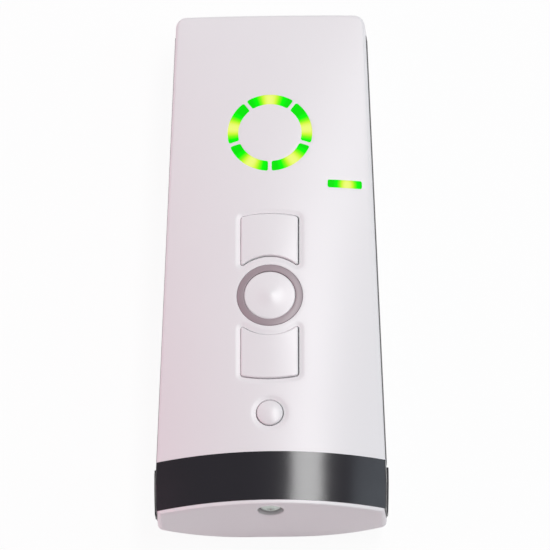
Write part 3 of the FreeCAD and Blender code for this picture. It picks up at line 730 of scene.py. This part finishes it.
def opening(shell, outline, gap, dish, edge, ceiling):
    """A hole through the cover with a rounded rim. Returns the loops that its sheet and ceiling need."""
    distances = [edge * share for share in (0.0, 0.12, 0.35, 0.65, 1.0)]
    if dish:
        distances += [0.45, 0.7, 0.95, 1.2, dish_width]
    loops = []
    for d in distances:
        p = outline.grown(gap + d)
        loops.append(shell.loop(p, front_z(p[:, 0], p[:, 1]) - dip(d, dish, edge)))
    p = outline.grown(gap)
    foot = shell.loop(p, front_z(p[:, 0], p[:, 1]) - ceiling)
    shell.strip(foot, loops[0])
    return loops, foot


def outer_side(shell, outline, bottom_z):
    """The rounded front edge and the flank below it. Returns the sheet's rim and the lowest loop."""
    p, n = outline.points, outline.out
    front_round = side_round - (side_round - end_round) * np.clip(-n[:, 1], 0, 1) ** 2

    def leaned(t, z):
        """The outline moved outwards by t, and leaning in with the flank's height."""
        return p + n * (np.asarray(t) - flank_lean * np.maximum(z - seam_z, 0) * n[:, 0] ** 2)[:, None]

    z = front_z(p[:, 0], p[:, 1])
    q = leaned(-front_round, z)
    ahead, behind = q + n * nudge, q - n * nudge
    fall = (front_z(behind[:, 0], behind[:, 1]) - front_z(ahead[:, 0], ahead[:, 1])) / (2 * nudge)
    slope = np.arctan(fall)
    t = -front_round + front_round * np.sin(slope)
    q = leaned(t, z)
    rim_z = front_z(q[:, 0], q[:, 1])
    rim = shell.loop(q, rim_z)
    centre_z = rim_z - front_round * np.cos(slope)
    previous = rim
    steps = 7
    for k in range(1, steps + 1):
        angle = (math.pi / 2 - slope) * (1 - k / steps)
        z = centre_z + front_round * np.sin(angle)
        q = leaned(-front_round + front_round * np.cos(angle), z)
        now = shell.loop(q, z)
        shell.strip(now, previous)
        previous = now
    for share in (0.5, 1.0):
        z = centre_z + (bottom_z - centre_z) * share
        q = leaned(0.0, z)
        now = shell.loop(q, z)
        shell.strip(now, previous)
        previous = now
    return rim, previous


def front_cover():
    """The white cover down to the seam: its front face and flanks, the same inside, and all the openings."""
    shell = Shell()
    rim, lowest = outer_side(shell, case_outline(0), seam_z)
    stop = middle("stop_key_ring")
    channel = middle("channel_key")
    # Each cut is an outline, the gap round it, the dip towards it and the round on its edge
    cuts = [(long_key_outline(side), 0.17, lip_dish, 0.18) for side in (1, -1)]
    cuts.append((round_outline((stop.x, stop.y), stop_ring_radius, 120), 0.05, 0, 0.12))
    cuts.append((round_outline((channel.x, channel.y), channel_radius, 72), 0.2, lip_dish, 0.18))
    cuts += [(segment_outline(k), 0.03, 0, 0.06) for k in range(5)]
    cuts.append((bar_outline(), 0.03, 0, 0.06))
    holes, rings, feet = [], [], []
    for outline, gap, dish, edge in cuts:
        loops, foot = opening(shell, outline, gap, dish, edge, front_wall)
        holes.append(loops[0])
        rings += loops[1:]
        feet.append(foot)
    shell.sheet(rim, holes, rings, 1.0, front_z)
    inner = case_outline(side_wall)
    bottom = shell.loop(inner.points, seam_z)
    shell.strip(bottom, lowest)
    p = inner.points
    top = shell.loop(p, front_z(p[:, 0], p[:, 1]) - front_wall)
    shell.strip(top, bottom)
    shell.sheet(top, feet, [], 3.0, lambda x, y: front_z(x, y) - front_wall)
    return shell.make("cover_front", 35)


def end_walls():
    """The two end walls below the seam, down to the back."""
    piece = copy_of_node("front_cover", "end_walls")
    edit(piece)
    seam = (0, 0, seam_z * MM)
    bpy.ops.mesh.bisect(
        plane_co=seam, plane_no=(0, 0, 1), use_fill=True, clear_outer=True, threshold=merged / 2
    )
    bpy.ops.object.mode_set(mode="OBJECT")
    bpy.ops.object.shade_smooth_by_angle(angle=math.radians(35))
    return piece


seat_radius = 3.3
seat_depth = 1.75
boss_radius = 4.4
shank_hole_radius = 1.4


def with_end_screw_seat(piece):
    """A boss behind the end wall, with the round recess and the screw's clearance hole."""
    z = middle("end_screw").z
    y = -length / 2
    combine(piece, rod_along(0, z, y + 1.1, y + 4.0, boss_radius), "UNION")
    combine(piece, rod_along(0, z, y - 1.0, y + seat_depth, seat_radius, 96), "DIFFERENCE")
    combine(piece, rod_along(0, z, y + 1.0, y + 5.0, shank_hole_radius), "DIFFERENCE")
    return piece


def soft_rim_of_recess(piece):
    """A small round on the recess's edge in the end face."""
    z = middle("end_screw").z * MM
    close = 0.02 * MM
    mesh = piece.data
    edit(piece)
    bpy.ops.mesh.select_all(action="DESELECT")
    bpy.ops.object.mode_set(mode="OBJECT")
    for edge in mesh.edges:
        ends = [mesh.vertices[i].co for i in edge.vertices]
        on_face = all(abs(c.y + length / 2 * MM) < close for c in ends)
        on_rim = all(abs(math.hypot(c.x, c.z - z) - seat_radius * MM) < close for c in ends)
        edge.select = on_face and on_rim
    bpy.context.tool_settings.mesh_select_mode = (False, True, False)
    bpy.ops.object.mode_set(mode="EDIT")
    bpy.ops.mesh.bevel(offset=0.25 * MM, segments=4, affect="EDGES")
    bpy.ops.object.mode_set(mode="OBJECT")
    bpy.context.tool_settings.mesh_select_mode = (True, False, False)
    bpy.ops.object.shade_smooth_by_angle(angle=math.radians(35))
    return piece


cover = soft_rim_of_recess(with_end_screw_seat(front_cover()))
lower_ends = end_walls()
take(cover)
lower_ends.select_set(True)
bpy.ops.object.join()
coat(cover, white_abs)
place(cover, "housing", "white_shell", "front_cover")


# ---------------------------------------------------------------- keys

flange = 1.3
flange_top = 2.15  # below the front face
flange_foot = 3.25
rest_x, rest_y = -0.09, 0.02  # each cap rests a little off the middle of its opening
key_bulge = 0.28


def along_key(y, side):
    """1 in the middle of a long key's length, 0 at its far edge and on the stop key's side."""
    s = side * (np.asarray(y) - middle("stop_key_ring").y)
    near = key_inner * 0.7
    u = (s - near) / (key_reach - near)
    return np.clip(4 * u * (1 - u), 0, 1)


def long_key(name, side):
    """A cap that follows the front face, a little rounder, with soft edges and its retaining flange."""
    shell = Shell()
    outline = long_key_outline(side)
    outline.points += (rest_x, rest_y)
    proud, edge = 0.1, 0.32

    def face(x, y):
        """The height of the cap's top."""
        across = np.clip(1 - ((np.asarray(x) - rest_x) / key_half) ** 2, 0, 1)
        return front_z(x, y) + proud + key_bulge * across * along_key(y, side)

    rounds = []
    for share in np.linspace(0, 1, 6):
        angle = math.pi / 2 * (1 - share)
        p = outline.grown(-edge + edge * math.cos(angle))
        rounds.append(shell.loop(p, face(p[:, 0], p[:, 1]) - edge + edge * math.sin(angle) - 0.03 * share))
    for a, b in zip(rounds, rounds[1:]):
        shell.strip(b, a)
    p = outline.grown(-edge - 0.05)
    soft = shell.loop(p, face(p[:, 0], p[:, 1]))
    shell.sheet(rounds[0], [], [soft], 0.9, face)
    last = rounds[-1]
    for grow, drop in ((0, flange_top), (flange, flange_top), (flange, flange_foot)):
        p = outline.grown(grow)
        now = shell.loop(p, front_z(p[:, 0], p[:, 1]) - drop)
        shell.strip(now, last)
        last = now
    shell.sheet(last, [], [], 2.5, lambda x, y: front_z(x, y) - flange_foot)
    return shell.make(name, 40)


def domed_key(name, node, radius, dome, wide, boss, boss_spread, sunk):
    """A round cap on its flange: a shallow dome with a soft boss in the middle and a rounded edge."""
    c = middle(node)
    rim_z = float(front_z(c.x, c.y)) - sunk
    edge = 0.4
    inner = radius - edge
    rim_foot = rim_z - 0.05 - edge / 2

    def height(r):
        bowl = (dome - boss) * (1 - (r / radius) ** 2)
        return rim_z + bowl + boss * math.exp(-0.5 * (r / boss_spread) ** 2)

    profile = [(r, height(r)) for r in np.linspace(0, inner, 26)]
    top = height(inner)
    slope = math.atan((height(inner - 0.01) - top) / 0.01)
    for k in range(1, 8):
        angle = slope + (math.pi / 2 - slope) * k / 7
        across = (math.sin(angle) - math.sin(slope)) / (1 - math.sin(slope))
        down = (math.cos(slope) - math.cos(angle)) / math.cos(slope)
        profile.append((inner + edge * across, top - (top - rim_foot) * down))
    back, foot = rim_z + sunk - flange_top, rim_z + sunk - flange_foot
    profile += [(radius, back), (wide, back), (wide, foot), (0.0, foot)]
    return turned(name, profile, (c.x, c.y), 128, 40)


def stop_ring():
    """The grey ring round the stop key: soft edges, and a slight fall away from the key."""
    c = middle("stop_key_ring")
    z = float(front_z(c.x, c.y))
    outer, inner, top, foot = stop_ring_radius, 6.58, z + 0.06, z - 1.2
    edge = 0.16
    profile = [(outer, foot)]
    for k in range(6):
        angle = math.pi / 2 * k / 5
        profile.append((outer - edge + edge * math.cos(angle), top - edge + edge * math.sin(angle)))
    profile += [(7.9, top + 0.05), (7.5, top + 0.09), (7.1, top + 0.11)]
    for k in range(6):
        angle = math.pi / 2 * (1 + k / 5)
        profile.append((inner + edge + edge * math.cos(angle), top - 0.05 + edge * math.sin(angle)))
    profile += [(inner, foot), (outer, foot)]
    return drape(turned("stop_key_bezel", profile, (c.x, c.y), 144, 40), c.x, c.y)


LONG = {"up": 1, "down": -1}  # which side of the stop key each lies on
# Each round key's radius, dome, flange radius, boss, the boss's spread, and how far its rim is sunk
ROUND = {
    "stop": (6.5, 0.78, stop_ring_radius, 0.4, 1.6, 0.15),
    "channel": (channel_radius, 0.6, channel_radius + flange, 0.0, 1.0, 0.0),
}
for name in (*LONG, *ROUND):
    cap = f"{name}_key_cap"
    piece = long_key(cap, LONG[name]) if name in LONG else domed_key(cap, f"{name}_key", *ROUND[name])
    coat(piece, white_key)
    place(piece, f"{name}_key_body", "white_key", f"{name}_key")
bezel = stop_ring()
coat(bezel, grey_ring)
place(bezel, "housing", "grey_ring", "stop_key_ring")


# ---------------------------------------------------------------- screws and cells

def lay_along(piece, x, y, z, to_light_end):
    """Lays a spun piece down along the length, with its top towards the light end or the screw end."""
    edit(piece)
    turn = math.radians(90 if to_light_end else -90)
    bpy.ops.transform.rotate(value=turn, orient_axis="X", center_override=(0, 0, 0))
    bpy.ops.transform.translate(value=(x * MM, y * MM, z * MM))
    bpy.ops.object.mode_set(mode="OBJECT")
    return piece


def tapered_slot(turn, half, wide, depth):
    """One of the two crossing cutters of a screw's recess: it narrows towards its foot."""
    bpy.ops.mesh.primitive_cube_add(size=1.0, location=(0, 0, 0))
    slot = bpy.context.object
    slot.dimensions = (2 * half * MM, wide * MM, 2 * depth * MM)
    slot.rotation_euler.z = turn
    apply_all(slot)
    edit(slot)
    bpy.ops.mesh.select_all(action="DESELECT")
    bpy.ops.object.mode_set(mode="OBJECT")
    for vertex in slot.data.vertices:
        vertex.select = vertex.co.z < 0
    bpy.ops.object.mode_set(mode="EDIT")
    bpy.ops.transform.resize(value=(0.45, 0.45, 1.0), center_override=(0, 0, 0))
    bpy.ops.object.mode_set(mode="OBJECT")
    return slot


def pan_screw(name):
    """A cross-recessed pan head on a threaded shank, with the head's top at zero height."""
    head, head_height = 3.05, 1.35
    radius, length_below = 1.25, 7.4
    slot_half, slot_wide, slot_depth = 1.45, 0.6, 0.35
    profile = [(0.0, 0.0)]
    for k in range(1, 9):
        angle = math.pi / 2 * k / 8
        profile.append((head * math.sin(angle) ** 0.8, head_height * 0.75 * (math.cos(angle) - 1)))
    profile += [(head, -head_height), (radius, -head_height)]
    pitch, root, z = 0.6, radius * 0.82, -head_height - 0.3
    while z - pitch > -head_height - length_below:
        profile += [(root, z), (radius, z - pitch / 2)]
        z -= pitch
    profile += [(radius * 0.8, z), (0.0, z - 0.5)]
    piece = turned(name, profile, (0, 0), 48, 35)
    for turn in (0.0, math.pi / 2):
        combine(piece, tapered_slot(turn, slot_half, slot_wide, slot_depth), "DIFFERENCE")
    return piece


head_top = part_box("end_screw")[0].y / MM - 0.45
screw = pan_screw("end_screw_steel")
lay_along(screw, middle("end_screw").x, head_top, middle("end_screw").z, False)
coat(screw, zinc_screw)
place(screw, "housing", "zinc_screw", "end_screw")


def battery_cell(node, to_light_end):
    """A steel can with a nub that points to the light end or away, and a printed sleeve in two colours."""
    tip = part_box(node)[1 if to_light_end else 0].y / MM
    can = [(0, 0), (1.5, 0), (1.75, -0.06), (1.9, -0.25), (1.9, -0.85), (2.3, -1.1), (3.6, -1.15)]
    can += [(4.6, -1.35), (4.95, -1.8), (4.95, -43.7), (4.5, -44.1), (3.4, -44.25), (3.1, -44.5), (0, -44.5)]
    upper = [(3.9, -1.05), (4.8, -1.1), (5.12, -1.25), (5.25, -1.6), (5.25, -13.0)]
    upper += [(5.0, -13.0), (5.0, -1.75), (3.9, -1.3), (3.9, -1.05)]
    lower = [(5.25, -13.0), (5.25, -43.8), (5.14, -44.15), (4.8, -44.3), (4.0, -44.32)]
    lower += [(4.0, -44.1), (5.0, -43.65), (5.0, -13.0), (5.25, -13.0)]
    parts = {
        "can": (can, nickel_contact),
        "sleeve_top": (upper, sleeve_copper),
        "sleeve": (lower, cell_jacket),
    }
    for name, (profile, mat) in parts.items():
        piece = turned(f"{node}_{name}", profile, (0, 0), 64)
        lay_along(piece, middle(node).x, tip, middle(node).z, to_light_end)
        coat(piece, mat)
        place(piece, "housing", "cell_jacket", node)


battery_cell("battery_cell_1", True)
battery_cell("battery_cell_2", False)


# ---------------------------------------------------------------- carried-over nodes

FINISH = {
    "white_shell": white_abs,
    "white_key": white_key,
    "black_gloss": black_gloss,
    "grey_trim": grey_trim,
    "grey_ring": grey_ring,
    "white_shield": white_shield,
    "led_body": led_body,
    "green_board": green_board,
    "black_chip": black_chip,
    "black_tray": black_tray,
    "component_body": component_body,
    "metal_can": metal_can,
    "nickel_contact": nickel_contact,
    "copper_wire": copper_wire,
    "zinc_screw": zinc_screw,
    "cell_jacket": cell_jacket,
}
lit = {"bar_light_guide": bar_light_finish()}
for k, along in enumerate((0.0, 0.15, -0.03, -0.08, -0.12), 1):
    lit[f"ring_light_guide_{k}"] = ring_light_finish(k, along)
for name, piece in nodes.items():
    for slot in piece.material_slots:
        packed = slot.material.name.split(".")[0] if slot.material else ""
        slot.material = lit.get(name) or FINISH.get(packed, slot.material)


# ---------------------------------------------------------------- floor, light and camera

def floor_finish():
    """Pale studio paper that keeps a faint shadow."""
    mat, tree = blank("studio_paper_white")
    where = add(tree, "ShaderNodeTexCoord")
    fibre_mm = 2.5
    fibre = add(tree, "ShaderNodeTexNoise", Vector=(where, "Object"), Scale=1000 / fibre_mm, Detail=3.0)
    tone = add(
        tree, "ShaderNodeMix", {"data_type": "RGBA"}, Factor=(fibre, 0),
        i6=colour("#f4f4f5"), i7=colour("#f0f0f1"),
    )
    paper = add(tree, "ShaderNodeBsdfPrincipled", Base_Color=(tone, 2), Roughness=0.9)
    white = add(tree, "ShaderNodeEmission", Color=(1, 1, 1, 1), Strength=1.0)
    ray = add(tree, "ShaderNodeLightPath")
    most = {"operation": "MAXIMUM"}
    seen = add(tree, "ShaderNodeMath", most, i0=(ray, "Is Camera Ray"), i1=(ray, "Is Glossy Ray"))
    through = add(tree, "ShaderNodeMath", most, i0=(seen, 0), i1=(ray, "Is Transmission Ray"))
    share = add(tree, "ShaderNodeMath", {"operation": "MULTIPLY"}, i0=(through, 0), i1=0.93)
    mixed = add(tree, "ShaderNodeMixShader", Fac=(share, 0), i1=(paper, 0), i2=(white, 0))
    finish_with(tree, mixed)
    return mat


bpy.ops.mesh.primitive_plane_add(size=6.0, location=(0, 0, cad_box[0].z - 0.1 * MM))
floor = bpy.context.object
floor.name = "studio_floor"
coat(floor, floor_finish())

world = bpy.data.worlds.new("studio")
bpy.context.scene.world = world
world.use_nodes = True
sky = world.node_tree.nodes["Background"]
sky.inputs["Color"].default_value = colour("#f6f5f8")
sky.inputs["Strength"].default_value = 0.31


def lamp(name, at, size, power, tint):
    """An area lamp, in metres, that faces the object with its second side along the object's length."""
    data = bpy.data.lights.new(name, "AREA")
    data.shape = "RECTANGLE"
    data.size, data.size_y = size
    data.energy = power
    data.color = colour(tint)[:3]
    piece = bpy.data.objects.new(name, data)
    bpy.context.scene.collection.objects.link(piece)
    piece.location = at
    away = Vector(at).normalized()
    across = Vector((0, 1, 0)).cross(away).normalized()
    piece.rotation_euler = Matrix((across, away.cross(across), away)).transposed().to_euler()
    return piece


lamp("overhead_strip", (0.30, 0.19, 1.05), (0.27, 0.86), 6.7, "#ffffff")
lamp("far_panel", (-0.35, 0.95, 1.1), (0.8, 0.3), 0.8, "#ffffff")
lamp("left_panel", (-0.45, -0.05, 0.09), (0.6, 0.12), 0.88, "#ffaccb")
lamp("right_panel", (1.15, 0.1, 0.6), (1.2, 0.5), 2.7, "#e6f4ff")
lamp("end_fill", (0.0, -0.7, 0.06), (0.5, 0.1), 0.22, "#ff8cb4")

camera_data = bpy.data.cameras.new("camera")
camera = bpy.data.objects.new("camera", camera_data)
bpy.context.scene.collection.objects.link(camera)
bpy.context.scene.camera = camera
azimuth, elevation, roll = math.radians(-4.80), math.radians(68.114), math.radians(-5.22)
distance = 4.0
view_width = 0.13966  # of what the camera takes in at that distance
aim = Vector((0, 0, 20 * MM))
move_right, move_down = 1.18 * MM, 3.59 * MM
camera_data.sensor_width = 36
camera_data.lens = camera_data.sensor_width * distance / view_width
back = Vector((
    -math.sin(azimuth) * math.cos(elevation),
    -math.cos(azimuth) * math.cos(elevation),
    math.sin(elevation),
))
level = Vector((0, 0, 1)).cross(back).normalized()
upright = back.cross(level)
right = level * math.cos(roll) + upright * math.sin(roll)
up = upright * math.cos(roll) - level * math.sin(roll)
camera.location = aim + back * distance + right * move_right - up * move_down
camera.rotation_euler = Matrix((right, up, back)).transposed().to_euler()

bpy.context.scene.view_settings.view_transform = "Standard"
